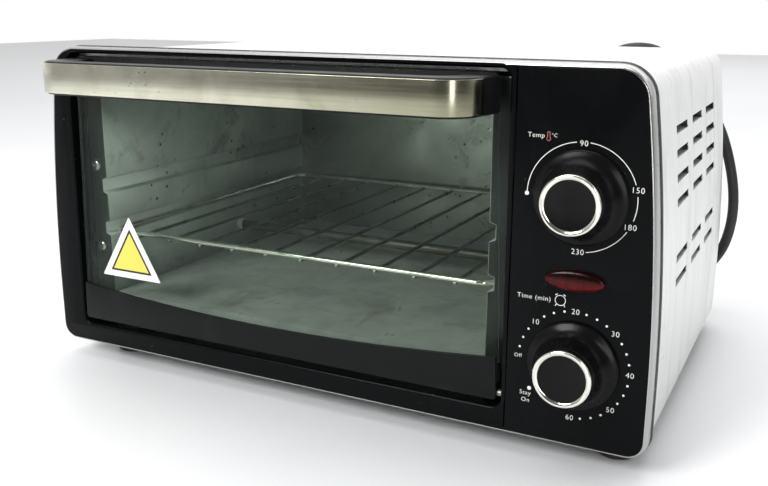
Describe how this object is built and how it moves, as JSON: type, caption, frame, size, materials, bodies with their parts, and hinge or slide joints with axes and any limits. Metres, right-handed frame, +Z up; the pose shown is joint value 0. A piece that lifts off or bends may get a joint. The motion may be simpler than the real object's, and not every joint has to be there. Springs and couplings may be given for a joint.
{
  "type": "bench reflow oven",
  "caption": "Small bench oven used for solder reflow, with a drop-down glass door, a steel bar handle, a wire rack, temperature and timer knobs and a mains lead.",
  "frame": {"origin": "on the table, under the middle of the oven's box", "axes": "+X to the right seen from the front, +Y to the back, +Z up"},
  "size_m": [0.3716, 0.3925, 0.1931],
  "materials": {
    "bare_steel": "brushed",
    "black_enamel": "semi-gloss enamel",
    "black_plastic": "gloss moulded",
    "ceramic": "matt",
    "chrome": "chrome plated",
    "cord_jacket": "matt flexible",
    "galvanised_steel": "galvanised",
    "glass": "clear tempered, slightly tinted",
    "printed_label": "printed film",
    "red_lens": "clear red",
    "rubber": "matt",
    "shell_steel": "satin coated"
  },
  "bodies": {
    "housing": {"base_plate": "galvanised_steel", "cavity_back_wall": "galvanised_steel", "cavity_ceiling": "galvanised_steel", "cavity_floor": "galvanised_steel", "cavity_left_wall": "galvanised_steel", "cavity_right_wall": "galvanised_steel", "control_panel": "black_enamel", "cord_coil": "cord_jacket", "door_frame": "black_enamel", "flange_screw_lower": "bare_steel", "flange_screw_upper": "bare_steel", "foot_front_left": "rubber", "foot_front_right": "rubber", "foot_rear_left": "rubber", "foot_rear_right": "rubber", "front_frame": "galvanised_steel", "front_rim": "bare_steel", "indicator_lamp": "red_lens", "indicator_lens": "red_lens", "lower_heater": "bare_steel", "lower_heater_left_bush": "ceramic", "lower_heater_right_bush": "ceramic", "outer_shell": "shell_steel", "plug_body": "black_plastic", "plug_lead": "cord_jacket", "plug_pin_front": "bare_steel", "plug_pin_rear": "bare_steel", "power_cord": "cord_jacket", "rear_panel": "galvanised_steel", "rear_screw_lower_left": "bare_steel", "rear_screw_lower_right": "bare_steel", "rear_screw_upper_left": "bare_steel", "rear_screw_upper_right": "bare_steel", "rear_spacer_left": "black_plastic", "rear_spacer_right": "black_plastic", "strain_relief": "cord_jacket", "terminal_block": "ceramic", "thermostat_body": "black_plastic", "timer_bell": "bare_steel", "timer_body": "black_plastic", "upper_heater": "bare_steel", "upper_heater_left_bush": "ceramic", "upper_heater_right_bush": "ceramic"},
    "door": {"caution_sticker": "printed_label", "door_glass": "glass", "door_rail": "black_enamel", "handle_body": "black_plastic", "handle_screw_left": "bare_steel", "handle_screw_right": "bare_steel", "handle_strip": "bare_steel", "hinge_pin_left": "bare_steel", "hinge_pin_right": "bare_steel"},
    "rack": {"wire_rack": "chrome"},
    "temperature_control": {"temperature_knob": "black_plastic", "temperature_knob_ring": "chrome", "temperature_shaft": "bare_steel"},
    "timer_control": {"timer_knob": "black_plastic", "timer_knob_ring": "chrome", "timer_shaft": "bare_steel"}
  },
  "joints": [
    {"name": "door_hinge", "type": "hinge", "parent": "housing", "child": "door", "pos_m": [-0.027, -0.1111, 0.0295], "axis": [1, 0, 0], "range_deg": [0, 84]},
    {"name": "rack_slide", "type": "slide", "parent": "housing", "child": "rack", "axis": [0, -1, 0], "range_m": [0, 0.008]},
    {"name": "temperature_knob_turn", "type": "hinge", "parent": "housing", "child": "temperature_control", "pos_m": [0.1453, -0.1151, 0.133], "axis": [0, 1, 0], "range_deg": [0, 277]},
    {"name": "timer_knob_turn", "type": "hinge", "parent": "housing", "child": "timer_control", "pos_m": [0.146, -0.1151, 0.0524], "axis": [0, 1, 0], "range_deg": [-37, 270]}
  ]
}
